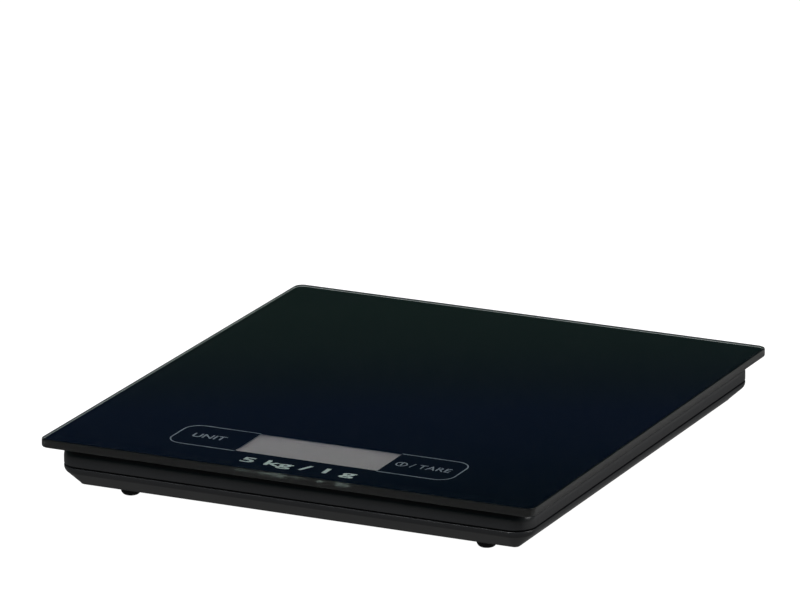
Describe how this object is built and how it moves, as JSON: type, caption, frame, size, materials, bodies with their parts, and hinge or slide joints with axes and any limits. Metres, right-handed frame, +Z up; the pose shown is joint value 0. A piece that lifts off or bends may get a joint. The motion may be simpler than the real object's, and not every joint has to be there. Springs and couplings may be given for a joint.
{
  "type": "kitchen scale",
  "caption": "Slim electronic kitchen scale: an overhanging black glass platform on a load cell, in a flat plastic body with rubber feet, a display window and touch keys.",
  "frame": {"origin": "on the floor under the centre of the glass platform", "axes": "+Z up, +Y to the back edge, away from the display; +X to the user's right"},
  "size_m": [0.18, 0.1994, 0.0216],
  "materials": {
    "black_abs": "moulded black ABS, fine satin texture",
    "black_backed_glass": "clear tempered glass over a black back print, ground edges",
    "black_rubber": "matt moulded rubber",
    "cell_aluminium": "clear anodised bar",
    "white_silicone": "potting compound",
    "grey_sheath": "vinyl cable sheath",
    "black_sheath": "vinyl wire sheath",
    "red_sheath": "vinyl wire sheath",
    "nickel_steel": "nickel-plated steel",
    "label_film": "blank silver film label",
    "foam_tape": "black double-sided foam tape",
    "fibreglass_board": "green solder mask on fibreglass",
    "lcd_glass": "grey reflective liquid-crystal display, off",
    "white_abs": "moulded white ABS",
    "zebra_rubber": "layered conductive rubber",
    "black_epoxy": "moulded epoxy",
    "white_nylon": "moulded nylon",
    "zinc_steel": "zinc-plated steel"
  },
  "bodies": {
    "base": {"base_shell": "black_abs", "load_cell": "cell_aluminium", "gauge_coating": "white_silicone", "base_screw_inner": "zinc_steel", "base_screw_outer": "zinc_steel", "load_cell_cable": "grey_sheath", "coin_cell": "nickel_steel", "contact_negative": "nickel_steel", "contact_positive": "nickel_steel", "battery_lead_negative": "black_sheath", "battery_lead_positive": "red_sheath", "rating_label": "label_film", "rubber_foot_front_left": "black_rubber", "rubber_foot_front_right": "black_rubber", "rubber_foot_back_left": "black_rubber", "rubber_foot_back_right": "black_rubber"},
    "platform": {"glass_platform": "black_backed_glass", "tape_frame": "foam_tape", "upper_cover": "black_abs", "platform_bracket": "zinc_steel", "bracket_spacer": "zinc_steel", "platform_screw_inner": "zinc_steel", "platform_screw_outer": "zinc_steel", "bracket_screw_front_left": "zinc_steel", "bracket_screw_front_right": "zinc_steel", "bracket_screw_back_left": "zinc_steel", "bracket_screw_back_right": "zinc_steel", "main_pcb": "fibreglass_board", "pcb_screw_front_left": "zinc_steel", "pcb_screw_front_right": "zinc_steel", "pcb_screw_back_left": "zinc_steel", "pcb_screw_back_right": "zinc_steel", "lcd_panel": "lcd_glass", "lcd_frame": "white_abs", "zebra_strip": "zebra_rubber", "controller_chip": "black_epoxy", "weighing_chip": "black_epoxy", "wire_connector": "white_nylon", "touch_spring_unit": "zinc_steel", "touch_spring_tare": "zinc_steel"},
    "door": {"battery_door": "black_abs"}
  },
  "joints": [
    {"name": "platform_press", "type": "slide", "parent": "base", "child": "platform", "axis": [0, 0, -1], "range_m": [0, 0.0003], "stiffness_N_per_m": 70000, "deforming": ["load_cell"]},
    {"name": "battery_door_hinge", "type": "hinge", "parent": "base", "child": "door", "pos_m": [-0.038, 0.0568, 0.0046], "axis": [1, 0, 0], "range_deg": [0, 85]}
  ]
}
